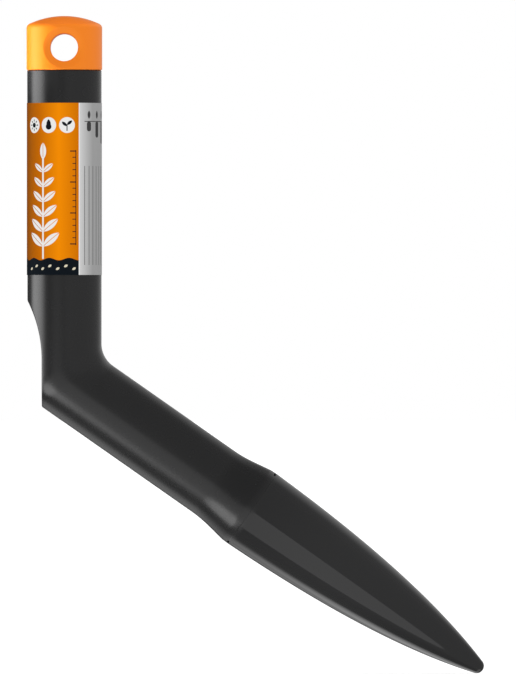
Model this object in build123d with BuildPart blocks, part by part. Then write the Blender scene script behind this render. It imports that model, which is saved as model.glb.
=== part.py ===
from build123d import *

import os
from math import acos, atan, ceil, cos, degrees, radians, sin, sqrt, tan

# A one-hand planting dibber: a bent hollow handle, a hang cap, a spike and a wrapped label.
# Sizes are in millimetres. The origin is the centre of the hang hole through the cap,
# +Z runs up the grip, +X is the way the shaft leans and +Y runs along the hang hole.

# Handle: grip, bend and shaft
tube_diameter = 30.0
grip_wall = 3.0
shaft_wall = 4.6
grip_length = 124.2
hole_to_grip_top = 9.0
grip_bore_to_bend = 37.2
grip_top_chamfer = 0.4
bend_angle = 55.0
inner_bend_radius = 11.0
heel_radius = 12.0
bend_sections = 11
shaft_lead_steps = 3

# Thumb rest cut into the back of the bend
thumb_flat_to_axis = 9.1
thumb_flat_top_to_bend = 7.1
thumb_scoop_radius = 52.0
scoop_overrun = 2.0
thumb_edge_radius = 0.6

# Shaft, its flare and the tenon that carries the spike
shaft_length = 92.8
flare_length = 19.3
flare_rise = 2.15
flare_slope = 0.16
flare_pull = 5.8
flare_lip = 3.2
flare_lip_pull = 0.8
seam_edge_radius = 0.2
notch_length = 0.8
notch_depth = 1.0
notch_width = 3.9
notch_turn = 14.0
tenon_length = 28.0
tenon_chamfer = 1.0
shaft_bore_to_bend = 24.8

# Spike
spike_length = 113.7
spike_mouth_step = 0.05
socket_wall = 3.8
spike_mouth_slope = 0.02
spike_mouth_reach = 41.6
spike_nose_radius = 3.0
spike_nose_slope = 0.322
spike_nose_reach = 30.5
spike_core_length = 48.0
spike_core_root_diameter = 21.0
spike_core_end_diameter = 9.0
socket_end_gap = 0.6

# Cap with the hang hole
cap_overhang = 0.3
cap_height = 18.1
cap_dome_radius = 33.3
cap_dome_edge_radius = 2.0
cap_rim_radius = 0.4
hang_hole_diameter = 11.2
hang_rim_width = 2.8
hang_rim_depth = 1.2
plug_length = 16.0
plug_wall = 2.6
plug_roof = 2.5
plug_lead_chamfer = 0.8
plug_slot_width = 1.6
plug_slot_length = 11.0
plug_slot_count = 4

# Snap beads and keys that lock the cap and the spike
bead_height = 0.5
bead_width = 1.6
cap_bead_depth = 10.0
spike_bead_depth = 20.0
key_width = 3.0
key_height = 0.8
cap_key_length = 6.0
spike_key_length = 12.0
slide_clearance = 0.1

# Label wrapped round the grip, with its ends lapped
label_height = 69.5
label_below_grip_top = 13.4
label_thickness = 0.12
label_glue = 0.05
label_lap_end = 23.8
label_lap_start = -30.0

# Places worked out from the sizes above
tube_radius = tube_diameter / 2
grip_top_z = -hole_to_grip_top
bend_z = grip_top_z - grip_length
grip_bore_radius = tube_radius - grip_wall
shaft_bore_radius = tube_radius - shaft_wall
flare_radius = tube_radius + flare_rise
mouth_radius = flare_radius + spike_mouth_step
socket_radius = mouth_radius - socket_wall
tenon_radius = socket_radius - slide_clearance
bend_reach = (tube_radius + inner_bend_radius) * tan(radians(bend_angle / 2))
pivot = Vector(tube_radius + inner_bend_radius, 0, bend_z + bend_reach)
bend_step = radians(bend_angle) * (tube_radius + inner_bend_radius) / (bend_sections - 1)
shaft_lead = shaft_lead_steps * bend_step
flat_top_z = bend_z + thumb_flat_top_to_bend
scoop_side = thumb_scoop_radius - (tube_radius - thumb_flat_to_axis)
scoop_top_z = flat_top_z + sqrt(thumb_scoop_radius**2 - scoop_side**2)
grip_lead_steps = ceil((scoop_top_z + scoop_overrun - pivot.Z) / bend_step)
grip_lead = grip_lead_steps * bend_step
shaft_direction = Vector(sin(radians(bend_angle)), 0, -cos(radians(bend_angle)))
shaft_plane = Plane(origin=(0, 0, bend_z), x_dir=shaft_direction, z_dir=(0, -1, 0))
shaft_axis = Axis(shaft_plane.origin, shaft_direction)
seam_plane = Plane(
    origin=shaft_plane.origin + shaft_direction * shaft_length,
    x_dir=shaft_plane.y_dir,
    z_dir=shaft_direction,
)


def bend_plane(turn, run=0.0):
    """A plane across the tube, turned about the bend's pivot and moved on along the tube."""
    travel = Vector(sin(radians(turn)), 0, -cos(radians(turn)))
    outward = Vector(-cos(radians(turn)), 0, -sin(radians(turn)))
    return Plane(origin=pivot + travel * run, x_dir=outward, z_dir=travel)


def heel_distance(turn):
    """Distance from the pivot to the bend's outer side: two straight runs and a round heel."""
    far_side = inner_bend_radius + tube_diameter
    half_turn = radians(bend_angle / 2)
    off_middle = radians(abs(turn - bend_angle / 2))
    heel_start = half_turn - atan((far_side - heel_radius) * tan(half_turn) / far_side)
    if off_middle >= heel_start:
        return far_side / cos(half_turn - off_middle)
    heel_centre = (far_side - heel_radius) / cos(half_turn)
    across = heel_centre * sin(off_middle)
    return heel_centre * cos(off_middle) + sqrt(heel_radius**2 - across**2)


def label_point(distance, turn):
    """A point at a distance from the grip's axis, turned from the front towards +X."""
    return (distance * sin(radians(turn)), -distance * cos(radians(turn)))


# Handle: one moulding with the grip, the bend, the shaft and the spike's tenon
with BuildPart() as handle:
    with BuildSketch(Plane.XY.offset(grip_top_z)):
        Circle(tube_radius)
    extrude(amount=-(grip_top_z - pivot.Z - grip_lead))
    chamfer(handle.edges().sort_by(Axis.Z)[-1], grip_top_chamfer)

    # Bend: ellipses that fan about the pivot, with circles as far apart on both straight runs
    for step in range(grip_lead_steps, 0, -1):
        with BuildSketch(bend_plane(0, -step * bend_step)):
            with Locations((inner_bend_radius + tube_radius, 0)):
                Circle(tube_radius)
    for section in range(bend_sections):
        section_turn = bend_angle * section / (bend_sections - 1)
        section_far = heel_distance(section_turn)
        with BuildSketch(bend_plane(section_turn)):
            with Locations(((section_far + inner_bend_radius) / 2, 0)):
                Ellipse((section_far - inner_bend_radius) / 2, tube_radius)
    for step in range(1, shaft_lead_steps + 1):
        with BuildSketch(bend_plane(bend_angle, step * bend_step)):
            with Locations((inner_bend_radius + tube_radius, 0)):
                Circle(tube_radius)
    loft()

    # Shaft with its flare and tenon, turned about the shaft's axis
    shaft_start = bend_reach + shaft_lead
    flare_start = shaft_length - flare_length
    lip_start = shaft_length - flare_lip
    lip_radius = flare_radius - flare_lip_pull * flare_slope
    with BuildSketch(shaft_plane):
        with BuildLine():
            Polyline((shaft_start, 0), (shaft_start, tube_radius), (flare_start, tube_radius))
            Bezier(
                (flare_start, tube_radius),
                (flare_start + flare_pull, tube_radius),
                (lip_start - flare_pull, lip_radius - flare_pull * flare_slope),
                (lip_start, lip_radius),
            )
            lip = Bezier(
                (lip_start, lip_radius),
                (lip_start + flare_lip_pull, flare_radius),
                (shaft_length - seam_edge_radius, flare_radius),
            )
            lip_edge = JernArc(lip @ 1, (1, 0), seam_edge_radius, -90)
            Polyline(lip_edge @ 1, (shaft_length, 0), (shaft_start, 0))
        make_face()
    revolve(axis=shaft_axis)
    with BuildSketch(seam_plane):
        Circle(tenon_radius)
    extrude(amount=tenon_length)
    tenon_end = handle.edges().filter_by(GeomType.CIRCLE).sort_by(shaft_axis)[-1]
    chamfer(tenon_end, tenon_chamfer)

    # Snap bead and two keys on the tenon
    with BuildSketch(seam_plane.offset(spike_bead_depth)):
        Circle(tenon_radius + bead_height)
    extrude(amount=bead_width)
    with BuildSketch(seam_plane):
        with Locations((0, tenon_radius), (0, -tenon_radius)):
            Rectangle(key_width, 2 * key_height)
    extrude(amount=spike_key_length)

    # Two pairs of shallow notches in the lip, where a blade can prise the spike off
    for pair_turn in (notch_turn, -notch_turn):
        with BuildSketch(seam_plane):
            with PolarLocations(flare_radius, 2, start_angle=pair_turn):
                Rectangle(2 * notch_depth, notch_width)
        extrude(amount=-notch_length, mode=Mode.SUBTRACT)

    # Bores: the grip's from the top, the shaft's from the end of the tenon
    with BuildSketch(Plane.XY.offset(grip_top_z)):
        Circle(grip_bore_radius)
    extrude(amount=-(grip_length - grip_bore_to_bend), mode=Mode.SUBTRACT)
    with BuildSketch(seam_plane.offset(tenon_length)):
        Circle(shaft_bore_radius)
    extrude(amount=-(shaft_length + tenon_length - shaft_bore_to_bend), mode=Mode.SUBTRACT)

    # Groove and keyway for the cap's plug
    with BuildSketch(Plane.XY.offset(grip_top_z - cap_bead_depth + slide_clearance)):
        Circle(grip_bore_radius + bead_height)
    extrude(amount=-(bead_width + 2 * slide_clearance), mode=Mode.SUBTRACT)
    with BuildSketch(Plane.XY.offset(grip_top_z)):
        with Locations((grip_bore_radius, 0), (-grip_bore_radius, 0)):
            Rectangle(2 * (key_height + slide_clearance), key_width + 2 * slide_clearance)
    extrude(amount=-(cap_key_length + slide_clearance), mode=Mode.SUBTRACT)

    # Thumb rest: a hollow arc that runs into a flat, cut straight across the bend, with a soft edge
    scoop_depth = tube_radius - thumb_flat_to_axis + scoop_overrun
    scoop_turn = degrees(acos(1 - scoop_depth / thumb_scoop_radius))
    scoop_centre = (-thumb_flat_to_axis - thumb_scoop_radius, flat_top_z)
    with BuildSketch(Plane.XZ):
        with BuildLine():
            scoop = CenterArc(scoop_centre, thumb_scoop_radius, 0, scoop_turn)
            Polyline(
                scoop @ 1,
                (-tube_diameter, (scoop @ 1).Y),
                (-tube_diameter, bend_z - tube_diameter),
                (-thumb_flat_to_axis, bend_z - tube_diameter),
                scoop @ 0,
            )
        make_face()
    extrude(amount=tube_diameter, both=True, mode=Mode.SUBTRACT)
    cut_edges = handle.edges(Select.LAST).filter_by(Axis.Y, reverse=True)
    rest_edges = cut_edges.filter_by_position(Axis.X, -tube_radius, -thumb_flat_to_axis)
    fillet(rest_edges, thumb_edge_radius)

# Spike: a hollow ogive whose socket slides over the tenon
with BuildPart() as spike:
    tip = shaft_length + spike_length
    nose_turn = atan(spike_nose_slope)
    nose_start = tip - spike_nose_radius * (1 - sin(nose_turn))
    nose_side = spike_nose_radius * cos(nose_turn)
    nose_middle = spike_nose_radius * cos(radians(45) + nose_turn / 2)
    with BuildSketch(shaft_plane):
        with BuildLine():
            mouth_side = Line((shaft_length, 0), (shaft_length, mouth_radius - seam_edge_radius))
            mouth_edge = JernArc(mouth_side @ 1, (0, 1), seam_edge_radius, -90)
            Bezier(
                mouth_edge @ 1,
                (shaft_length + spike_mouth_reach, mouth_radius - spike_mouth_reach * spike_mouth_slope),
                (nose_start - spike_nose_reach, nose_side + spike_nose_reach * spike_nose_slope),
                (nose_start, nose_side),
            )
            ThreePointArc(
                (nose_start, nose_side),
                (tip - spike_nose_radius + sqrt(spike_nose_radius**2 - nose_middle**2), nose_middle),
                (tip, 0),
            )
            Line((tip, 0), (shaft_length, 0))
        make_face()
    revolve(axis=shaft_axis)

    # Socket, its snap groove and keyways, and the tapered core beyond it
    socket_depth = tenon_length + socket_end_gap
    with BuildSketch(seam_plane):
        Circle(socket_radius)
    extrude(amount=socket_depth, mode=Mode.SUBTRACT)
    with BuildSketch(seam_plane.offset(spike_bead_depth - slide_clearance)):
        Circle(socket_radius + bead_height)
    extrude(amount=bead_width + 2 * slide_clearance, mode=Mode.SUBTRACT)
    with BuildSketch(seam_plane):
        with Locations((0, tenon_radius), (0, -tenon_radius)):
            Rectangle(key_width + 2 * slide_clearance, 2 * (key_height + slide_clearance))
    extrude(amount=spike_key_length + slide_clearance, mode=Mode.SUBTRACT)
    with BuildSketch(seam_plane.offset(socket_depth)):
        Circle(spike_core_root_diameter / 2)
    with BuildSketch(seam_plane.offset(socket_depth + spike_core_length)):
        Circle(spike_core_end_diameter / 2)
    loft(mode=Mode.SUBTRACT)

# Cap: a domed head with the hang hole across it, and a split plug that snaps into the grip
with BuildPart() as end_cap:
    cap_radius = tube_radius + cap_overhang
    dome_edge_z = grip_top_z + cap_height
    dome_centre_z = dome_edge_z - sqrt(cap_dome_radius**2 - cap_radius**2)
    dome_half = cap_radius / 2
    with BuildSketch(Plane.XZ):
        with BuildLine():
            Polyline((0, grip_top_z), (cap_radius, grip_top_z), (cap_radius, dome_edge_z))
            ThreePointArc(
                (cap_radius, dome_edge_z),
                (dome_half, dome_centre_z + sqrt(cap_dome_radius**2 - dome_half**2)),
                (0, dome_centre_z + cap_dome_radius),
            )
            Line((0, dome_centre_z + cap_dome_radius), (0, grip_top_z))
        make_face()
        fillet(vertices().group_by(Axis.X)[-1].sort_by(Axis.Y)[0], cap_rim_radius)
        fillet(vertices().group_by(Axis.X)[-1].sort_by(Axis.Y)[-1], cap_dome_edge_radius)
    revolve(axis=Axis.Z)

    # Hang hole straight across the head, with a wide shallow bevel round it on both sides
    with BuildSketch(Plane.XZ):
        Circle(hang_hole_diameter / 2)
    extrude(amount=cap_radius, both=True, mode=Mode.SUBTRACT)
    hole_rims = end_cap.edges(Select.LAST).filter_by(GeomType.LINE, reverse=True)
    head_side = end_cap.faces().filter_by(GeomType.CYLINDER).sort_by(SortBy.AREA)[-1]
    chamfer(hole_rims, hang_rim_width, hang_rim_depth, reference=head_side)

    # Plug: a hollow spigot with slots that let its bead spring into the grip's groove
    plug_radius = grip_bore_radius - slide_clearance
    plug_end_z = grip_top_z - plug_length
    with BuildSketch(Plane.XY.offset(grip_top_z)):
        Circle(plug_radius)
    extrude(amount=-plug_length)
    chamfer(end_cap.edges().filter_by(GeomType.CIRCLE).sort_by(Axis.Z)[0], plug_lead_chamfer)
    with BuildSketch(Plane.XY.offset(grip_top_z - cap_bead_depth)):
        Circle(plug_radius + bead_height)
    extrude(amount=-bead_width)
    with BuildSketch(Plane.XY.offset(grip_top_z)):
        with Locations((plug_radius, 0), (-plug_radius, 0)):
            Rectangle(2 * key_height, key_width)
    extrude(amount=-cap_key_length)
    with BuildSketch(Plane.XY.offset(plug_end_z)):
        Circle(plug_radius - plug_wall)
    extrude(amount=plug_length - plug_roof, mode=Mode.SUBTRACT)
    with BuildSketch(Plane.XY.offset(plug_end_z)):
        with PolarLocations(plug_radius, plug_slot_count, start_angle=180 / plug_slot_count):
            Rectangle(4 * plug_wall, plug_slot_width)
    extrude(amount=plug_slot_length, mode=Mode.SUBTRACT)

# Label: a printed wrap round the grip whose last stretch climbs over its first
with BuildPart() as label_wrap:
    label_inside = tube_radius + label_glue
    label_outside = label_inside + label_thickness
    label_top_z = grip_top_z - label_below_grip_top

    with BuildSketch(Plane.XY.offset(label_top_z)):
        with BuildLine():
            climb_middle = (label_lap_start + label_lap_end) / 2
            ThreePointArc(
                label_point(label_outside, label_lap_end),
                label_point(label_outside, climb_middle + 180),
                label_point(label_outside, label_lap_start),
            )
            ThreePointArc(
                label_point(label_outside, label_lap_start),
                label_point(label_outside + label_thickness / 2, climb_middle),
                label_point(label_outside + label_thickness, label_lap_end),
            )
            Line(
                label_point(label_outside + label_thickness, label_lap_end),
                label_point(label_outside, label_lap_end),
            )
        make_face()
        Circle(label_inside, mode=Mode.SUBTRACT)
    extrude(amount=-label_height)

os.makedirs("parts", exist_ok=True)
handle.part.label = "handle"
export_step(handle.part, "parts/handle.step")
spike.part.label = "spike"
export_step(spike.part, "parts/spike.step")
end_cap.part.label = "end_cap"
export_step(end_cap.part, "parts/end_cap.step")
label_wrap.part.label = "label_wrap"
export_step(label_wrap.part, "parts/label_wrap.step")
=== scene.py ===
from math import atan, atan2, ceil, copysign, cos, pi, radians, sin, sqrt, tan

import bpy
from mathutils import Matrix, Vector


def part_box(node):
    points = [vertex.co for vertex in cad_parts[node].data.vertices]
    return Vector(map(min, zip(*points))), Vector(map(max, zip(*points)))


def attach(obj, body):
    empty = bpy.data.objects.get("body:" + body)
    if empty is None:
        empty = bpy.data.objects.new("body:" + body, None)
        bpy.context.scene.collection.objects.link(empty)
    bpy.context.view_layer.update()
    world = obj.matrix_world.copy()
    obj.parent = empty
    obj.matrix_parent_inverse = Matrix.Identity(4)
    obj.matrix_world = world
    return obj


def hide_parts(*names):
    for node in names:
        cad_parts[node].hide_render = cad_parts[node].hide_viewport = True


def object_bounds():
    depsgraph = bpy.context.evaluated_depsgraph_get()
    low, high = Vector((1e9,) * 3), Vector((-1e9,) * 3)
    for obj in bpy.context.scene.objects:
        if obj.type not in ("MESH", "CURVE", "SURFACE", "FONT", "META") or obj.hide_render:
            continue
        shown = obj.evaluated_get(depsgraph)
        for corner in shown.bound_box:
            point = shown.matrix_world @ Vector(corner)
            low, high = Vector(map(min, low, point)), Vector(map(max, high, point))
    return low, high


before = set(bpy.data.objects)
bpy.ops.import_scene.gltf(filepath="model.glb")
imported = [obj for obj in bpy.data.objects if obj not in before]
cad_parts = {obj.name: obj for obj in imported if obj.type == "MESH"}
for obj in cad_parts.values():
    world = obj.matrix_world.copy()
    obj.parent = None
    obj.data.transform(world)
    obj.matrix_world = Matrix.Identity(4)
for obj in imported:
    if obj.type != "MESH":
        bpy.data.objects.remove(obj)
cad_low, cad_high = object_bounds()

# Handle: one hollow moulding of filled nylon with a fine satin skin: the grip, the bend with its thumb rest,
# the shaft that flares to meet the spike, and the tenon that the spike is pushed onto. The mould leaves a
# fine parting line, and notches beside it in the flare's lip let a blade in to prise the spike off.
mm = 0.001
grip_top_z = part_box("handle")[1].z
tube_radius = 15.0 * mm
grip_length = 124.2 * mm
grip_bore_radius = 12.0 * mm
grip_bore_depth = 87.0 * mm
grip_top_chamfer = 0.4 * mm
bend_angle = radians(55)
inner_bend_radius = 11.0 * mm
heel_radius = 12.0 * mm
thumb_flat_to_axis = 9.1 * mm
thumb_flat_top_to_bend = 7.1 * mm
thumb_scoop_radius = 52.0 * mm
thumb_edge_width = 0.4 * mm
shaft_length = 92.8 * mm
shaft_bore_radius = 10.4 * mm
shaft_bore_to_bend = 24.8 * mm
flare_length = 19.3 * mm
flare_rise = 2.15 * mm
flare_slope = 0.16
flare_pull = 5.8 * mm
flare_lip = 3.2 * mm
flare_lip_pull = 0.8 * mm
seam_edge_radius = 0.09 * mm
notch_length = 0.8 * mm
notch_depth = 1.0 * mm
notch_width = 3.9 * mm
notch_turn = radians(14)
tenon_length = 28.0 * mm
tenon_radius = 13.3 * mm
tenon_chamfer = 1.0 * mm
parting_line_height = 0.03 * mm
same_place = 0.001 * mm
ring_sides = 192
bend_rings = 64
thumb_ring_step = 0.5 * mm
flare_rings = 24
lip_rings = 8
edge_rings = 5

bend_vertex = Vector((0, 0, grip_top_z - grip_length))
shaft_direction = Vector((sin(bend_angle), 0, -cos(bend_angle)))
shaft_up = Vector((cos(bend_angle), 0, sin(bend_angle)))
bend_reach = (tube_radius + inner_bend_radius) * tan(bend_angle / 2)
pivot = bend_vertex + Vector((tube_radius + inner_bend_radius, 0, bend_reach))
flat_top_z = bend_vertex.z + thumb_flat_top_to_bend
scoop_side = thumb_scoop_radius - (tube_radius - thumb_flat_to_axis)
scoop_top_z = flat_top_z + sqrt(thumb_scoop_radius**2 - scoop_side**2)


def bezier(share, *points):
    """A point on the Bezier curve through these control points, at a share of its length from 0 to 1."""
    if len(points) == 1:
        return points[0]
    start = bezier(share, *points[:-1])
    end = bezier(share, *points[1:])
    return start.lerp(end, share)


def round_edge(along, radius, size, sign, steps):
    """Stations round a quarter turn of an edge, from a place and a radius until it is square to the tube."""
    turns = [radians(90) * (step + 1) / steps for step in range(steps)]
    return [(along + sign * size * sin(turn), radius - size * (1 - cos(turn))) for turn in turns]


def draw_tube(start, direction, stations, radius):
    """Extrudes the selected end of a tube through stations, each a distance from the start and a radius."""
    place = stations[0][0]
    for along, new_radius in stations[1:]:
        bpy.ops.mesh.extrude_region_move(TRANSFORM_OT_translate={"value": direction * (along - place)})
        scale = new_radius / radius
        bpy.ops.transform.resize(value=(scale, scale, scale), center_override=start + direction * along)
        place = along
        radius = new_radius


def finish_mesh(smooth_angle):
    """Closes a piece drawn in edit mode, turns its faces outwards and shades it smooth up to an angle."""
    bpy.ops.mesh.select_all(action="SELECT")
    bpy.ops.mesh.remove_doubles(threshold=same_place)
    bpy.ops.mesh.normals_make_consistent(inside=False)
    bpy.ops.object.mode_set(mode="OBJECT")
    bpy.ops.object.transform_apply(location=True, rotation=True, scale=True)
    bpy.ops.object.shade_smooth_by_angle(angle=radians(smooth_angle))


def heel_distance(turn):
    """Distance from the bend's pivot to its outer side: two straight runs and a round heel between them."""
    far_side = inner_bend_radius + 2 * tube_radius
    off_middle = abs(turn - bend_angle / 2)
    heel_start = bend_angle / 2 - atan((far_side - heel_radius) * tan(bend_angle / 2) / far_side)
    if off_middle >= heel_start:
        return far_side / cos(bend_angle / 2 - off_middle)
    heel_centre = (far_side - heel_radius) / cos(bend_angle / 2)
    return heel_centre * cos(off_middle) + sqrt(heel_radius**2 - (heel_centre * sin(off_middle)) ** 2)


def thumb_rest_x(z):
    """The thumb rest's place across the grip: a hollow arc above and a flat below."""
    rise = min(max(z - flat_top_z, 0), thumb_scoop_radius)
    return -thumb_flat_to_axis - thumb_scoop_radius + sqrt(thumb_scoop_radius**2 - rise**2)


grip_run = [
    (grip_bore_depth, grip_bore_radius),
    (0, grip_bore_radius),
    (0, tube_radius - grip_top_chamfer),
    (grip_top_chamfer, tube_radius),
    (grip_top_z - scoop_top_z, tube_radius),
]
scoop_height = scoop_top_z - pivot.z
thumb_rings = ceil(scoop_height / thumb_ring_step)
for ring in range(1, thumb_rings + 1):
    grip_run.append((grip_top_z - scoop_top_z + scoop_height * ring / thumb_rings, tube_radius))

flare_start = Vector((shaft_length - flare_length, tube_radius))
lip_radius = tube_radius + flare_rise - flare_lip_pull * flare_slope
lip_start = Vector((shaft_length - flare_lip, lip_radius))
flare_points = [
    flare_start,
    flare_start + Vector((flare_pull, 0)),
    lip_start - Vector((flare_pull, flare_pull * flare_slope)),
    lip_start,
]
lip_points = [
    lip_start,
    lip_start + Vector((flare_lip_pull, flare_lip_pull * flare_slope)),
    Vector((shaft_length - seam_edge_radius, tube_radius + flare_rise)),
]
shaft_run = [(bend_reach, tube_radius), tuple(flare_start)]
shaft_run += [tuple(bezier((ring + 1) / flare_rings, *flare_points)) for ring in range(flare_rings)]
shaft_run += [tuple(bezier((ring + 1) / lip_rings, *lip_points)) for ring in range(lip_rings)]
shaft_run += round_edge(*lip_points[-1], seam_edge_radius, 1, edge_rings)
shaft_run += [
    (shaft_length, tenon_radius),
    (shaft_length + tenon_length - tenon_chamfer, tenon_radius),
    (shaft_length + tenon_length, tenon_radius - tenon_chamfer),
    (shaft_length + tenon_length, shaft_bore_radius),
    (shaft_bore_to_bend, shaft_bore_radius),
]

bpy.ops.object.select_all(action="DESELECT")
bpy.ops.mesh.primitive_circle_add(
    vertices=ring_sides,
    radius=grip_bore_radius,
    fill_type="NGON",
    location=(0, 0, grip_top_z - grip_bore_depth),
)
handle = bpy.context.object
handle.name = "handle_moulding"
bpy.ops.object.mode_set(mode="EDIT")
bpy.ops.mesh.select_all(action="SELECT")
draw_tube(Vector((0, 0, grip_top_z)), Vector((0, 0, -1)), grip_run, grip_bore_radius)
bpy.ops.mesh.spin(steps=bend_rings, angle=bend_angle, center=pivot, axis=(0, 1, 0))
draw_tube(bend_vertex, shaft_direction, shaft_run, tube_radius)
finish_mesh(30)

for vertex in handle.data.vertices:
    reach = vertex.co - pivot
    reach.y = 0
    turn = atan2(-reach.z, -reach.x)
    if 0 < turn < bend_angle:
        stretch = (heel_distance(turn) - inner_bend_radius) / (2 * tube_radius)
        outward = inner_bend_radius + (reach.length - inner_bend_radius) * stretch
        vertex.co += reach.normalized() * (outward - reach.length)
    if vertex.co.x < 0:
        rest_x = thumb_rest_x(vertex.co.z)
        overlap = max(thumb_edge_width - abs(vertex.co.x - rest_x), 0)
        vertex.co.x = max(vertex.co.x, rest_x) + overlap**2 / (4 * thumb_edge_width)
handle.data.update()
for vertex in handle.data.vertices:
    if abs(vertex.co.y) < same_place:
        vertex.co += vertex.normal * parting_line_height


def cut_away(piece, cutter, smooth_angle):
    """Cuts another object's shape out of a piece, and shades the piece smooth up to an angle."""
    bpy.ops.object.select_all(action="DESELECT")
    piece.select_set(True)
    bpy.context.view_layer.objects.active = piece
    cut = piece.modifiers.new("cut", "BOOLEAN")
    cut.object = cutter
    cut.operation = "DIFFERENCE"
    cut.solver = "EXACT"
    bpy.ops.object.modifier_apply(modifier=cut.name)
    bpy.data.objects.remove(cutter)
    bpy.ops.object.shade_smooth_by_angle(angle=radians(smooth_angle))


seam_middle = bend_vertex + shaft_direction * shaft_length
for turn in (notch_turn, -notch_turn, pi + notch_turn, pi - notch_turn):
    outward = shaft_up * cos(turn) + Vector((0, sin(turn), 0))
    bpy.ops.object.select_all(action="DESELECT")
    bpy.ops.mesh.primitive_cube_add(
        size=1,
        location=seam_middle + outward * (tube_radius + flare_rise),
        rotation=Matrix((shaft_direction, outward.cross(shaft_direction), outward)).transposed().to_euler(),
        scale=(2 * notch_length, notch_width, 2 * notch_depth),
    )
    cut_away(handle, bpy.context.object, 30)


def put(tree, kind, inputs=None, **settings):
    """Adds a shader node with its settings, and fills its inputs with values or other nodes' outputs."""
    node = tree.nodes.new(kind)
    for name, value in settings.items():
        setattr(node, name, value)
    for socket, value in (inputs or {}).items():
        if isinstance(value, bpy.types.NodeSocket):
            tree.links.new(value, node.inputs[socket])
        else:
            node.inputs[socket].default_value = value
    return node


def reckon(tree, operation, *values):
    """The output of a math node that works on values or on other nodes' outputs."""
    return put(tree, "ShaderNodeMath", dict(enumerate(values)), operation=operation).outputs[0]


def reckon_vector(tree, operation, *values):
    """The output of a vector math node: a number for a length or a dot product, and otherwise a vector."""
    node = put(tree, "ShaderNodeVectorMath", dict(enumerate(values)), operation=operation)
    return node.outputs["Value" if operation in ("LENGTH", "DOT_PRODUCT") else "Vector"]


def noise(tree, place, scale, detail):
    """The output of a noise texture."""
    return put(tree, "ShaderNodeTexNoise", {"Vector": place, "Scale": scale, "Detail": detail}).outputs[0]


def new_group(name, inputs, outputs):
    """An empty node group with named inputs and outputs, and the nodes that stand for them."""
    group = bpy.data.node_groups.new(name, "ShaderNodeTree")
    for socket, kind in inputs.items():
        group.interface.new_socket(socket, in_out="INPUT", socket_type=kind)
    for socket, kind in outputs.items():
        group.interface.new_socket(socket, in_out="OUTPUT", socket_type=kind)
    return group, put(group, "NodeGroupInput").outputs, put(group, "NodeGroupOutput").inputs


# A moulded skin, for every plastic piece: soft clouds of tone and gloss, and a fine grain
cloud_scale = 45
sheen_scale = 160
moulded_skin, given, result = new_group(
    "moulded_skin",
    {
        "Color": "NodeSocketColor",
        "Cloud": "NodeSocketFloat",
        "Roughness": "NodeSocketFloat",
        "Roughness Spread": "NodeSocketFloat",
        "Grain Scale": "NodeSocketFloat",
    },
    {"Color": "NodeSocketColor", "Roughness": "NodeSocketFloat", "Height": "NodeSocketFloat"},
)
place = put(moulded_skin, "ShaderNodeTexCoord").outputs["Object"]
cloud = noise(moulded_skin, place, cloud_scale, 3)
sheen = noise(moulded_skin, place, sheen_scale, 2)
grain = noise(moulded_skin, place, given["Grain Scale"], 1)
tone = reckon(moulded_skin, "MULTIPLY_ADD", reckon(moulded_skin, "SUBTRACT", cloud, 0.5), given["Cloud"], 1)
spread = reckon(moulded_skin, "SUBTRACT", sheen, 0.5)
moulded_skin.links.new(reckon_vector(moulded_skin, "MULTIPLY", given["Color"], tone), result["Color"])
moulded_skin.links.new(
    reckon(moulded_skin, "MULTIPLY_ADD", spread, given["Roughness Spread"], given["Roughness"]),
    result["Roughness"],
)
moulded_skin.links.new(grain, result["Height"])


def moulded_material(
    name, color, cloud, roughness, roughness_spread, grain_size, grain_depth, grain_strength
):
    """A moulded plastic with the skin group's colour, gloss and grain."""
    material = bpy.data.materials.new(name)
    material.use_nodes = True
    tree = material.node_tree
    shader = tree.nodes["Principled BSDF"]
    skin = put(tree, "ShaderNodeGroup", node_tree=moulded_skin)
    skin.inputs["Color"].default_value = (*color, 1)
    skin.inputs["Cloud"].default_value = cloud
    skin.inputs["Roughness"].default_value = roughness
    skin.inputs["Roughness Spread"].default_value = roughness_spread
    skin.inputs["Grain Scale"].default_value = 1 / grain_size
    bump = put(
        tree,
        "ShaderNodeBump",
        {"Height": skin.outputs["Height"], "Strength": grain_strength, "Distance": grain_depth},
    )
    tree.links.new(skin.outputs["Color"], shader.inputs["Base Color"])
    tree.links.new(skin.outputs["Roughness"], shader.inputs["Roughness"])
    tree.links.new(bump.outputs[0], shader.inputs["Normal"])
    return material


satin_roughness = 0.27
satin_black = moulded_material(
    "satin_black",
    color=(0.0160, 0.0160, 0.0164),
    cloud=0.12,
    roughness=satin_roughness,
    roughness_spread=0.05,
    grain_size=0.35 * mm,
    grain_depth=0.01 * mm,
    grain_strength=0.12,
)
handle.data.materials.append(satin_black)
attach(handle, "root")
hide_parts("handle")

# Spike: a hollow point of black plastic with a polished skin, moulded by itself and pushed onto the
# handle's tenon until its mouth meets the flare. Its side is one long curve to a small round nose.
spike_length = 113.7 * mm
spike_mouth_radius = 17.2 * mm
spike_mouth_slope = 0.02
spike_mouth_reach = 41.6 * mm
spike_nose_radius = 3.0 * mm
spike_nose_slope = 0.322
spike_nose_reach = 30.5 * mm
socket_radius = 13.4 * mm
socket_depth = 28.6 * mm
spike_core_length = 48.0 * mm
spike_core_root_radius = 10.5 * mm
spike_core_end_radius = 4.5 * mm
polish_start = 3.0 * mm
spike_side_rings = 72
spike_nose_rings = 16

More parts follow.
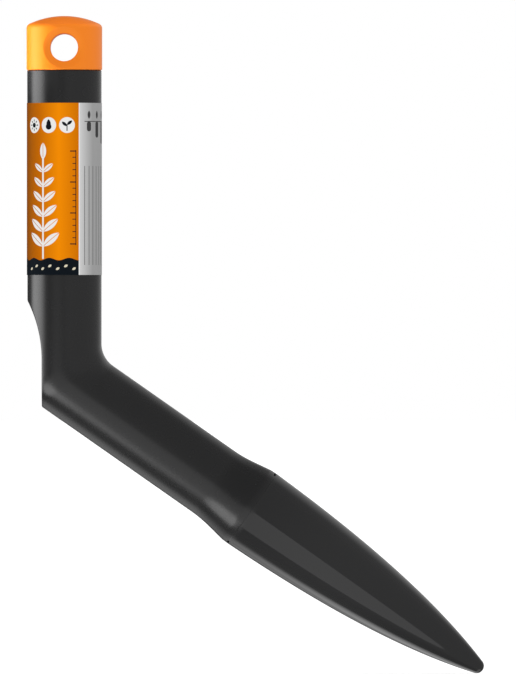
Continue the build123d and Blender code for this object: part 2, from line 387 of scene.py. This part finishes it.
spike_tip = shaft_length + spike_length
nose_turn = atan(spike_nose_slope)
nose_back = spike_nose_radius * (1 - sin(nose_turn))
nose_start = Vector((spike_tip - nose_back, spike_nose_radius * cos(nose_turn)))
mouth_side = Vector((shaft_length, spike_mouth_radius))
side_points = [
    mouth_side,
    Vector((shaft_length + spike_mouth_reach, spike_mouth_radius - spike_mouth_reach * spike_mouth_slope)),
    nose_start + Vector((-spike_nose_reach, spike_nose_reach * spike_nose_slope)),
    nose_start,
]
core_start = shaft_length + socket_depth
spike_run = [
    (core_start + spike_core_length, spike_core_end_radius),
    (core_start, spike_core_root_radius),
    (core_start, socket_radius),
    (shaft_length, socket_radius),
]
spike_run += [tuple(bezier(ring / spike_side_rings, *side_points)) for ring in range(spike_side_rings + 1)]
for ring in range(1, spike_nose_rings):
    turn = nose_turn + (radians(90) - nose_turn) * ring / spike_nose_rings
    spike_run.append((spike_tip - spike_nose_radius * (1 - sin(turn)), spike_nose_radius * cos(turn)))

bpy.ops.object.select_all(action="DESELECT")
bpy.ops.mesh.primitive_circle_add(
    vertices=ring_sides,
    radius=spike_core_end_radius,
    fill_type="NGON",
    location=bend_vertex + shaft_direction * spike_run[0][0],
    rotation=(0, pi - bend_angle, 0),
)
spike = bpy.context.object
spike.name = "spike_point"
bpy.ops.object.mode_set(mode="EDIT")
bpy.ops.mesh.select_all(action="SELECT")
draw_tube(bend_vertex, shaft_direction, spike_run, spike_core_end_radius)
finish_mesh(30)

gloss_roughness = 0.06
gloss_black = moulded_material(
    "gloss_black",
    color=(0.0178, 0.0178, 0.0182),
    cloud=0.08,
    roughness=gloss_roughness,
    roughness_spread=0.03,
    grain_size=6.0 * mm,
    grain_depth=0.004 * mm,
    grain_strength=0.2,
)


def ease(tree, value, start, end, low, high):
    """A number that goes smoothly from low to high while a value goes from a start to an end."""
    limits = {"Value": value, "From Min": start, "From Max": end, "To Min": low, "To Max": high}
    return put(tree, "ShaderNodeMapRange", limits, interpolation_type="SMOOTHSTEP").outputs[0]


# The polish sets in past the mouth, which is as satin as the handle
tree = gloss_black.node_tree
place = put(tree, "ShaderNodeTexCoord").outputs["Object"]
along = reckon_vector(tree, "DOT_PRODUCT", place, shaft_direction)
mouth_along = seam_middle.dot(shaft_direction)
polish = ease(tree, along, mouth_along, mouth_along + polish_start, satin_roughness, gloss_roughness)
tree.links.new(polish, tree.nodes["Group"].inputs["Roughness"])
spike.data.materials.append(gloss_black)
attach(spike, "root")
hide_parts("spike")

# Cap: a domed plug of bright orange plastic that snaps into the top of the grip. Its head stands a little
# proud of the grip all round. The hole straight across the head is for a hook or a nail, and it has a
# bevelled rim on both sides.
cap_overhang = 0.3 * mm
cap_height = 18.1 * mm
cap_rim_radius = 0.4 * mm
cap_dome_radius = 33.3 * mm
cap_dome_edge_radius = 2.0 * mm
hang_hole_radius = 5.6 * mm
hang_rim_width = 2.8 * mm
hang_rim_depth = 1.2 * mm
hang_edge_radius = 0.3 * mm
hang_cutter_overrun = 2.0 * mm
hang_cutter_reach = 8.0 * mm
plug_clearance = 0.1 * mm
plug_wall = 2.6 * mm
plug_length = 16.0 * mm
plug_roof = 2.5 * mm
plug_chamfer = 0.8 * mm
cap_side_rings = 24
cap_dome_edge_rings = 12
cap_dome_rings = 32
hang_hole_sides = 160
hang_bevel_rings = 16
hang_edge_rings = 6

cap_radius = tube_radius + cap_overhang
plug_radius = grip_bore_radius - plug_clearance
plug_bore_radius = plug_radius - plug_wall
dome_edge_middle = cap_radius - cap_dome_edge_radius
dome_centre_z = grip_top_z + cap_height - sqrt(cap_dome_radius**2 - cap_radius**2)
dome_edge_rise = sqrt((cap_dome_radius - cap_dome_edge_radius) ** 2 - dome_edge_middle**2)
dome_edge_z = dome_centre_z + dome_edge_rise
dome_edge_turn = atan2(dome_edge_rise, dome_edge_middle)
cap_side_z = grip_top_z + cap_rim_radius
cap_run = [
    (grip_top_z - plug_roof, plug_bore_radius),
    (grip_top_z - plug_length, plug_bore_radius),
    (grip_top_z - plug_length, plug_radius - plug_chamfer),
    (grip_top_z - plug_length + plug_chamfer, plug_radius),
    (grip_top_z, plug_radius),
]
cap_rim = round_edge(cap_side_z, cap_radius, cap_rim_radius, -1, edge_rings)
cap_run += cap_rim[::-1]
for ring in range(cap_side_rings + 1):
    cap_run.append((cap_side_z + (dome_edge_z - cap_side_z) * ring / cap_side_rings, cap_radius))
for ring in range(1, cap_dome_edge_rings + 1):
    turn = dome_edge_turn * ring / cap_dome_edge_rings
    rise = cap_dome_edge_radius * sin(turn)
    cap_run.append((dome_edge_z + rise, dome_edge_middle + cap_dome_edge_radius * cos(turn)))
for ring in range(1, cap_dome_rings):
    turn = dome_edge_turn + (radians(90) - dome_edge_turn) * ring / cap_dome_rings
    cap_run.append((dome_centre_z + cap_dome_radius * sin(turn), cap_dome_radius * cos(turn)))

bpy.ops.object.select_all(action="DESELECT")
bpy.ops.mesh.primitive_circle_add(
    vertices=ring_sides,
    radius=plug_bore_radius,
    fill_type="NGON",
    location=(0, 0, cap_run[0][0]),
)
cap = bpy.context.object
cap.name = "cap_moulding"
bpy.ops.object.mode_set(mode="EDIT")
bpy.ops.mesh.select_all(action="SELECT")
draw_tube(Vector((0, 0, 0)), Vector((0, 0, 1)), cap_run, plug_bore_radius)
finish_mesh(30)

# The hang hole's cutter: stations from outside the cap in along its bevel to the hole, as radius and depth
bevel_slope = hang_rim_depth / hang_rim_width
bevel_outside = hang_hole_radius + hang_rim_width + hang_cutter_overrun
hole_corner = Vector((hang_hole_radius, hang_rim_depth))
edge_points = [
    hole_corner + hang_edge_radius * Vector((1, -bevel_slope)),
    hole_corner,
    hole_corner + hang_edge_radius * Vector((0, 1)),
]
bevel_start = Vector((bevel_outside, -hang_cutter_overrun * bevel_slope))
hole_side = [(bevel_outside, -hang_cutter_reach)]
for ring in range(hang_bevel_rings):
    hole_side.append(tuple(bevel_start.lerp(edge_points[0], ring / hang_bevel_rings)))
hole_side += [tuple(bezier(ring / hang_edge_rings, *edge_points)) for ring in range(hang_edge_rings + 1)]
hole_run = [(depth - cap_radius, radius) for radius, depth in hole_side]
hole_run += [(cap_radius - depth, radius) for radius, depth in reversed(hole_side)]
bpy.ops.object.select_all(action="DESELECT")
bpy.ops.mesh.primitive_circle_add(
    vertices=hang_hole_sides,
    radius=bevel_outside,
    fill_type="NGON",
    location=(0, hole_run[0][0], 0),
    rotation=(radians(90), 0, 0),
)
cutter = bpy.context.object
bpy.ops.object.mode_set(mode="EDIT")
bpy.ops.mesh.select_all(action="SELECT")
draw_tube(Vector((0, 0, 0)), Vector((0, 1, 0)), hole_run, bevel_outside)
finish_mesh(30)
for vertex in cutter.data.vertices:
    fall = cap_radius - sqrt(cap_radius**2 - vertex.co.x**2)
    vertex.co.y -= copysign(fall, vertex.co.y)

cut_away(cap, cutter, 15)

cap_orange = moulded_material(
    "cap_orange",
    color=(0.94, 0.205, 0.006),
    cloud=0.06,
    roughness=0.38,
    roughness_spread=0.05,
    grain_size=0.5 * mm,
    grain_depth=0.006 * mm,
    grain_strength=0.2,
)
cap_gloss = cap_orange.node_tree.nodes["Principled BSDF"].inputs
cap_gloss["Specular IOR Level"].default_value = 0.9
cap_gloss["Specular Tint"].default_value = (1.0, 0.9, 0.3, 1)
cap.data.materials.append(cap_orange)
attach(cap, "root")
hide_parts("end_cap")

# Label: a printed plastic film glued once round the grip, with its last stretch lapped over its first and
# a thin pale cut edge. It has an orange field and a grey panel to write on, both with painted shade that
# darkens them towards their sides, and plain garden pictures.
label_low, label_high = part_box("label_wrap")
label_glue = 0.05 * mm
label_thickness = 0.12 * mm
label_lap_end = radians(23.8)
label_lap_start = radians(-30)
label_columns = 240
label_rows = 28
lap_climb = radians(14)


def smooth_step(value, start, end):
    """Rises smoothly from 0 to 1 while a value goes from a start to an end."""
    share = min(max((value - start) / (end - start), 0), 1)
    return share * share * (3 - 2 * share)


label_inside = tube_radius + label_glue
label_outside = label_inside + label_thickness
label_height = label_high.z - label_low.z
label_turn = 2 * pi + label_lap_end - label_lap_start
bpy.ops.object.select_all(action="DESELECT")
bpy.ops.mesh.primitive_grid_add(x_subdivisions=label_columns, y_subdivisions=label_rows, size=1)
label = bpy.context.object
label.name = "label_film"
for vertex in label.data.vertices:
    turn = label_lap_start + (vertex.co.x + 0.5) * label_turn
    climb = smooth_step(turn - label_lap_start - 2 * pi, -lap_climb, 0)
    distance = label_inside + label_thickness * climb
    height = (label_low.z + label_high.z) / 2 + vertex.co.y * label_height
    vertex.co = (distance * sin(turn), -distance * cos(turn), height)
thickness = label.modifiers.new("film", "SOLIDIFY")
thickness.thickness = label_thickness
thickness.offset = 1
bpy.ops.object.modifier_apply(modifier=thickness.name)
bpy.ops.object.shade_smooth_by_angle(angle=radians(40))

# The orange field is printed brightest just left of the front and darkest down the left side, and darker
# round the back: painted shade, as if lit from the front.
field_print_and_painted_shade = [
    (-180, (0.58, 0.155, 0.001)),
    (-100, (0.265, 0.072, 0.001)),
    (-75, (0.265, 0.072, 0.001)),
    (-41, (0.55, 0.140, 0.001)),
    (-8, (0.90, 0.262, 0.001)),
    (22, (0.63, 0.166, 0.001)),
    (120, (0.58, 0.155, 0.001)),
]
# The grey panel is printed lighter near the lap and darker towards its far edge: painted shade.
panel_grey_and_painted_shade = [
    (22, (0.66, 0.66, 0.66)),
    (29, (0.55, 0.55, 0.55)),
    (38, (0.44, 0.44, 0.44)),
    (49, (0.33, 0.33, 0.33)),
]
white_ink = (0.83, 0.83, 0.82)
dark_ink = (0.006, 0.009, 0.013)
grey_ink = (0.05, 0.05, 0.05)
seed_ink = (0.72, 0.66, 0.50)
panel_turn = radians(125)
cut_edge_width = 0.5 * mm
ink_blur = 0.08 * mm

# The label's material: its print, together with the painted shade of the field and panel ramps.
label_print = bpy.data.materials.new("label_print")
label_print.use_nodes = True
tree = label_print.node_tree
shader = tree.nodes["Principled BSDF"]
around = put(tree, "ShaderNodeTexCoord").outputs["Object"]
axes = put(tree, "ShaderNodeSeparateXYZ", {0: around}).outputs
turn = reckon(tree, "ARCTAN2", axes["X"], reckon(tree, "MULTIPLY", axes["Y"], -1))
arc = reckon(tree, "MULTIPLY", turn, label_outside)
height = reckon(tree, "SUBTRACT", axes["Z"], label_low.z)
print_place = put(tree, "ShaderNodeCombineXYZ", {"X": arc, "Y": height}).outputs[0]


def ink_edge(tree, inside):
    """Ink that is full inside a mark and fades over its blurred edge, from the depth inside the mark."""
    node = put(tree, "ShaderNodeMath", {0: inside, 1: 1 / ink_blur, 2: 0.5}, operation="MULTIPLY_ADD")
    node.use_clamp = True
    return node.outputs[0]


# A block of ink with round corners, or a disc where the corner is as big as the half size
block_mark, given, result = new_group(
    "block_mark",
    {
        "Place": "NodeSocketVector",
        "Middle": "NodeSocketVector",
        "Half Size": "NodeSocketVector",
        "Corner": "NodeSocketFloat",
    },
    {"Ink": "NodeSocketFloat"},
)
off_middle = reckon_vector(block_mark, "SUBTRACT", given["Place"], given["Middle"])
off_middle = reckon_vector(block_mark, "ABSOLUTE", off_middle)
past_side = reckon_vector(block_mark, "SUBTRACT", off_middle, given["Half Size"])
past_corner = reckon_vector(block_mark, "ADD", past_side, given["Corner"])
past_corner = reckon_vector(block_mark, "MAXIMUM", past_corner, (0, 0, 0))
inside = reckon(block_mark, "SUBTRACT", given["Corner"], reckon_vector(block_mark, "LENGTH", past_corner))
block_mark.links.new(ink_edge(block_mark, inside), result["Ink"])

# A leaf of ink: the lens between two arcs, turned about its middle, with a bare midrib
leaf_mark, given, result = new_group(
    "leaf_mark",
    {
        "Place": "NodeSocketVector",
        "Middle": "NodeSocketVector",
        "Turn": "NodeSocketFloat",
        "Half Width": "NodeSocketFloat",
        "Arc Radius": "NodeSocketFloat",
        "Midrib": "NodeSocketFloat",
    },
    {"Ink": "NodeSocketFloat"},
)
off_middle = reckon_vector(leaf_mark, "SUBTRACT", given["Place"], given["Middle"])
turned = put(
    leaf_mark,
    "ShaderNodeVectorRotate",
    {"Vector": off_middle, "Angle": given["Turn"]},
    rotation_type="Z_AXIS",
).outputs[0]
leaf_axes = put(leaf_mark, "ShaderNodeSeparateXYZ", {0: turned}).outputs
aside = reckon(leaf_mark, "ABSOLUTE", leaf_axes["X"])
arc_middle = reckon(leaf_mark, "SUBTRACT", given["Arc Radius"], given["Half Width"])
across = reckon(leaf_mark, "ADD", aside, arc_middle)
to_arc = put(leaf_mark, "ShaderNodeCombineXYZ", {"X": across, "Y": leaf_axes["Y"]}).outputs[0]
inside = reckon(leaf_mark, "SUBTRACT", given["Arc Radius"], reckon_vector(leaf_mark, "LENGTH", to_arc))
off_midrib = reckon(leaf_mark, "SUBTRACT", aside, given["Midrib"])
inside = reckon(leaf_mark, "MINIMUM", inside, off_midrib)
leaf_mark.links.new(ink_edge(leaf_mark, inside), result["Ink"])


def block(middle, half_size, corner, place=print_place):
    """The ink of one block, by its middle and half size along the arc and up the label, in millimetres."""
    mark = put(tree, "ShaderNodeGroup", node_tree=block_mark)
    tree.links.new(place, mark.inputs["Place"])
    mark.inputs["Middle"].default_value = (middle[0] * mm, middle[1] * mm, 0)
    mark.inputs["Half Size"].default_value = (half_size[0] * mm, half_size[1] * mm, 1)
    mark.inputs["Corner"].default_value = corner * mm
    return mark.outputs["Ink"]


def disc(middle, radius):
    """The ink of one disc, in millimetres."""
    return block(middle, (radius, radius), radius)


def leaf(root, turn_degrees, length, width, midrib=-1.0):
    """The ink of one leaf that grows from a root, leaning clockwise by a turn, in millimetres."""
    lean = radians(turn_degrees)
    mark = put(tree, "ShaderNodeGroup", node_tree=leaf_mark)
    tree.links.new(print_place, mark.inputs["Place"])
    middle = (root[0] + sin(lean) * length / 2, root[1] + cos(lean) * length / 2)
    mark.inputs["Middle"].default_value = (middle[0] * mm, middle[1] * mm, 0)
    mark.inputs["Turn"].default_value = lean
    mark.inputs["Half Width"].default_value = width / 2 * mm
    mark.inputs["Arc Radius"].default_value = (length**2 + width**2) / (4 * width) * mm
    mark.inputs["Midrib"].default_value = midrib * mm
    return mark.outputs["Ink"]


def join(*marks):
    """The ink of several marks together."""
    joined = marks[0]
    for mark in marks[1:]:
        joined = reckon(tree, "MAXIMUM", joined, mark)
    return joined


def ramp(stops):
    """A colour that goes round the grip through stops, each a turn in degrees and a colour."""
    share = reckon(tree, "MULTIPLY_ADD", turn, 1 / (2 * pi), 0.5)
    node = put(tree, "ShaderNodeValToRGB", {"Fac": share})
    elements = node.color_ramp.elements
    while len(elements) < len(stops):
        elements.new(1)
    for element, (degrees, color) in zip(elements, stops):
        element.position = degrees / 360 + 0.5
        element.color = (*color, 1)
    return node.outputs["Color"]


def ink_over(under, mark, color):
    """A colour with a mark printed over it in an ink or in another colour."""
    over = color if isinstance(color, bpy.types.NodeSocket) else (*color, 1)
    return put(tree, "ShaderNodeMix", {0: mark, 6: under, 7: over}, data_type="RGBA").outputs[2]


# The field's print, in millimetres: soil with seeds, a tall sprig, three round signs and a depth scale
soil_height = 6.4
soil_wave_height = 0.5
soil_wave_length = 2 * pi * 1.3
soil_wave = reckon(tree, "SINE", reckon(tree, "MULTIPLY", arc, 2 * pi / (soil_wave_length * mm)))
soil_top = reckon(tree, "MULTIPLY_ADD", soil_wave, soil_wave_height * mm, soil_height * mm)
soil = ink_edge(tree, reckon(tree, "SUBTRACT", soil_top, height))
seed_places = [(-16.5 + 3.3 * count, 2.1 + 1.1 * (count % 2)) for count in range(7)]
seeds = join(*[leaf(place, turn_degrees=60, length=1.7, width=0.95) for place in seed_places])
stem_arc = -9.0
leaf_midrib = 0.13
leaf_lean = 52
sprig = [block((stem_arc, 27.0), (0.4, 20.6), 0.4), leaf((stem_arc, 46.5), 0, 7.0, 3.0, leaf_midrib)]
for pair in range(6):
    root = (stem_arc, 11.5 + 6.0 * pair)
    leaf_length = 9.0 - 0.65 * pair
    for side in (-1, 1):
        sprig.append(leaf(root, side * leaf_lean, leaf_length, 0.36 * leaf_length, leaf_midrib))
sprig = join(*sprig)
sign_height = 60.5
sign_radius = 3.2
sun_arc, drop_arc, sprout_arc = -14.0, -6.4, 1.2
signs = join(*[disc((sign_arc, sign_height), sign_radius) for sign_arc in (sun_arc, drop_arc, sprout_arc)])
sun = [disc((sun_arc, sign_height), 1.0)]
sun_rays = 8
ray_start = 1.3
for ray in range(sun_rays):
    lean = 2 * pi * ray / sun_rays
    ray_root = (sun_arc + ray_start * sin(lean), sign_height + ray_start * cos(lean))
    sun.append(leaf(ray_root, 360 * ray / sun_rays, 1.2, 0.5))
drop = [disc((drop_arc, sign_height - 0.6), 1.25), leaf((drop_arc, sign_height - 1.6), 0, 4.0, 1.9)]
sprout = [
    block((sprout_arc, sign_height - 1.0), (0.2, 1.4), 0.2),
    leaf((sprout_arc, sign_height - 0.4), -50, 2.7, 1.2),
    leaf((sprout_arc, sign_height + 0.1), 50, 2.7, 1.2),
]
pictures = join(*sun, *drop, *sprout)
scale_arc = 3.6
scale_middle = 31.2
scale_half_height = 19.2
tick_step = 2.5
long_tick_step = 5 * tick_step
mark_corner = 0.1


def print_repeats(step):
    """The print's place, with its height folded so that a mark at height 0 comes again at every step."""
    folded = reckon(tree, "PINGPONG", height, step / 2 * mm)
    return put(tree, "ShaderNodeCombineXYZ", {"X": arc, "Y": folded}).outputs[0]


ticks = join(
    block((scale_arc + 0.5, 0), (0.7, 0.16), mark_corner, print_repeats(tick_step)),
    block((scale_arc, 0), (1.2, 0.22), mark_corner, print_repeats(long_tick_step)),
)
scale_span = block((scale_arc, scale_middle), (2.0, scale_half_height), mark_corner)
depth_scale = reckon(tree, "MULTIPLY", ticks, scale_span)
scale_side = block((scale_arc + 1.2, scale_middle), (0.16, scale_half_height), mark_corner)
depth_scale = join(depth_scale, scale_side)

color = ramp(field_print_and_painted_shade)
color = ink_over(color, join(sprig, signs), white_ink)
color = ink_over(color, join(soil, pictures, depth_scale), dark_ink)
color = ink_over(color, seeds, seed_ink)

# The grey panel past the lap, darkened away from the front by painted shade: a picture of three planting
# holes and ruled lines to write on
rule_step = 2.2
rule_middle = 24.0
ground_height = 62.0
folded_arc = reckon(tree, "PINGPONG", arc, rule_step / 2 * mm)
rule_place = put(tree, "ShaderNodeCombineXYZ", {"X": folded_arc, "Y": height}).outputs[0]
rules = reckon(
    tree,
    "MULTIPLY",
    block((0, rule_middle), (0.13, 20.0), mark_corner, rule_place),
    block((18.3, rule_middle), (10.2, 22.0), mark_corner),
)
holes = [block((18.5, ground_height), (9.8, 0.16), mark_corner)]
for count in range(3):
    depth = 4.0 + 2.5 * count
    hole_arc = 11.0 + 5.0 * count
    holes.append(block((hole_arc, ground_height - depth / 2), (1.1, depth / 2), 1.0))
    holes.append(leaf((hole_arc, ground_height + 1.0), 0, 3.4, 1.5))
panel_ink = join(rules, *holes)
panel_print_and_shade = ink_over(ramp(panel_grey_and_painted_shade), panel_ink, grey_ink)
past_lap = reckon(tree, "GREATER_THAN", turn, label_lap_end)
before_end = reckon(tree, "LESS_THAN", turn, panel_turn)
color = ink_over(color, reckon(tree, "MULTIPLY", past_lap, before_end), panel_print_and_shade)
lap_arc = label_lap_end * label_outside / mm
cut_edge = block(
    (lap_arc, label_height / 2 / mm), (cut_edge_width / 2 / mm, label_height / mm), mark_corner
)
color = ink_over(color, cut_edge, white_ink)

# The film itself: a little uneven in tone and gloss
film = put(tree, "ShaderNodeGroup", node_tree=moulded_skin)
film.inputs["Cloud"].default_value = 0.05
film.inputs["Roughness"].default_value = 0.50
film.inputs["Roughness Spread"].default_value = 0.10
film.inputs["Grain Scale"].default_value = 1 / (0.25 * mm)
tree.links.new(color, film.inputs["Color"])
tree.links.new(film.outputs["Color"], shader.inputs["Base Color"])
tree.links.new(film.outputs["Roughness"], shader.inputs["Roughness"])
shader.inputs["Specular IOR Level"].default_value = 0.01
label.data.materials.append(label_print)
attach(label, "root")
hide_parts("label_wrap")

# Floor: a wide pale sheet of paper under the tool's point. It only takes the tool's shadow: it throws no
# light back and shows in no gloss, and a glow that the camera alone sees brings its open part up to white.
floor_size = 60.0
floor_tone = (0.8, 0.8, 0.8)
floor_glow = 0.46
bpy.ops.object.select_all(action="DESELECT")
bpy.ops.mesh.primitive_plane_add(size=floor_size, location=(0, 0, cad_low.z))
floor = bpy.context.object
floor.name = "floor"
floor.visible_diffuse = False
floor.visible_glossy = False
floor.visible_shadow = False
floor_white = bpy.data.materials.new("floor_white")
floor_white.use_nodes = True
tree = floor_white.node_tree
shader = tree.nodes["Principled BSDF"]
shader.inputs["Base Color"].default_value = (*floor_tone, 1)
shader.inputs["Roughness"].default_value = 1.0
shader.inputs["Specular IOR Level"].default_value = 0.0
shader.inputs["Emission Color"].default_value = (1, 1, 1, 1)
light_path = put(tree, "ShaderNodeLightPath")
tree.links.new(
    reckon(tree, "MULTIPLY", light_path.outputs["Is Camera Ray"], floor_glow),
    shader.inputs["Emission Strength"],
)
floor.data.materials.append(floor_white)

# Studio: a room that lights the tool evenly from all round and stands white behind it. In the tool's gloss
# it is dim, with a bright window at the left and paler and darker patches. Each patch is given by the
# direction of its middle, the cosines of the angles from there to its edge and its heart, and its level.
world = bpy.data.worlds.new("studio")
bpy.context.scene.world = world
world.use_nodes = True
tree = world.node_tree
background = tree.nodes["Background"]
background.inputs["Color"].default_value = (1, 1, 1, 1)
room_level = 0.07
fill_level = 0.95
room_patches = [
    # The half of the room that the spike points to
    (Vector((0.82, 0.00, -0.57)), -0.10, 0.15, 0.25),
    # A darker patch low behind, to the right
    (Vector((0.48, 0.68, -0.55)), 0.80, 0.95, -0.20),
    # A pale patch of ground to the right
    (Vector((0.40, 0.00, -0.91)), 0.86, 0.99, 0.90),
    # A pale wall behind, which shows along the tool's upper outlines
    (Vector((0.30, 0.86, 0.40)), 0.71, 1.00, 0.34),
    # A darker patch of ground straight below
    (Vector((0.03, 0.00, -1.00)), 0.80, 0.96, -0.14),
    # Two pale patches low behind, which show along the shaft's and the spike's lower outlines
    (Vector((-0.44, 0.64, -0.63)), 0.88, 0.98, 0.50),
    (Vector((-0.11, 0.50, -0.86)), 0.90, 0.97, 1.30),
    # The window at the left
    (Vector((-1.00, 0.05, 0.00)), 0.83, 1.00, 4.00),
    # A dark patch high behind, which shows in the cap's dome
    (Vector((-0.16, 0.70, 0.69)), 0.83, 0.95, -0.37),
]
direction = put(tree, "ShaderNodeTexCoord").outputs["Generated"]
paleness = room_level
for middle, edge, heart, level in room_patches:
    facing = reckon_vector(tree, "DOT_PRODUCT", direction, middle.normalized())
    paleness = reckon(tree, "ADD", ease(tree, facing, edge, heart, 0, level), paleness)
paleness = reckon(tree, "MAXIMUM", paleness, 0)
light_path = put(tree, "ShaderNodeLightPath")


def by_ray(ray, other, own):
    """A level of its own for one kind of ray, and another level for the rest."""
    return put(tree, "ShaderNodeMix", {0: light_path.outputs[ray], 2: other, 3: own}).outputs[0]


seen = by_ray("Is Camera Ray", by_ray("Is Glossy Ray", fill_level, paleness), 1.0)
tree.links.new(seen, background.inputs["Strength"])

# Lamps: softboxes round the tool. The key lights its colours from the front, and two narrow beams light the
# cap's left side and its dome. The two others show only in the gloss, as bands on the black pieces.
tool_middle = (cad_low + cad_high) / 2


def softbox(name, target, direction, distance, size, brightness, across=(0, 0, 1), shape="RECTANGLE"):
    """A soft lamp of an even brightness that stands off a target in a direction and faces it."""
    towards = Vector(direction).normalized()
    lamp_data = bpy.data.lights.new(name, "AREA")
    lamp_data.shape = shape
    lamp_data.size, lamp_data.size_y = size
    area = size[0] * size[1] * (pi / 4 if shape == "ELLIPSE" else 1)
    lamp_data.energy = brightness * pi * area
    lamp = bpy.data.objects.new(name, lamp_data)
    bpy.context.scene.collection.objects.link(lamp)
    right = Vector(across).cross(towards).normalized()
    up = towards.cross(right)
    turned = Matrix((right, up, towards)).transposed().to_4x4()
    lamp.matrix_world = Matrix.Translation(target + towards * distance) @ turned
    lamp.visible_camera = False
    return lamp


key = softbox("key", tool_middle, (0.1, -1, 0.15), distance=2.0, size=(0.9, 0.9), brightness=0.7)
key.visible_glossy = False
left_low = softbox(
    "left_low",
    tool_middle,
    (-0.734, -0.424, -0.53),
    distance=1.2,
    size=(0.66, 0.66),
    brightness=3.5,
    shape="ELLIPSE",
)
left_low.visible_diffuse = False
low_front = softbox(
    "low_front",
    tool_middle,
    (-0.32, -0.83, -0.457),
    distance=1.2,
    size=(1.42, 1.2),
    brightness=0.61,
    across=shaft_up,
    shape="ELLIPSE",
)
low_front.visible_diffuse = False
cap_middle = Vector((0, 0, 1 * mm))
beam_distance = 0.6
beam_spread = radians(1)
cap_glow = softbox(
    "cap_glow", cap_middle, (-1, 0.12, -0.28), beam_distance, size=(0.05, 0.03), brightness=2.1
)
dome_glow = softbox(
    "dome_glow",
    cap_middle,
    (0, 0.1, 1),
    beam_distance,
    size=(0.05, 0.05),
    brightness=0.17,
    across=(0, 1, 0),
)
for beam in (cap_glow, dome_glow):
    beam.data.spread = beam_spread
    beam.visible_glossy = False

# Camera: a long lens straight in front of the tool. It stands so far back that the whole tool is seen square
# on, and the hang hole hardly shows its inside wall.
view_middle = Vector((78.3 * mm, 0, -119.8 * mm))
view_height = 278.2 * mm
camera_data = bpy.data.cameras.new("camera")
camera_data.sensor_width = 36.0
camera_data.lens = 1200.0
camera = bpy.data.objects.new("camera", camera_data)
bpy.context.scene.collection.objects.link(camera)
camera_distance = view_height * camera_data.lens / camera_data.sensor_width
camera.location = view_middle + Vector((0, -camera_distance, 0))
camera.rotation_euler = (radians(90), 0, 0)
bpy.context.scene.camera = camera
bpy.context.scene.view_settings.view_transform = "Standard"
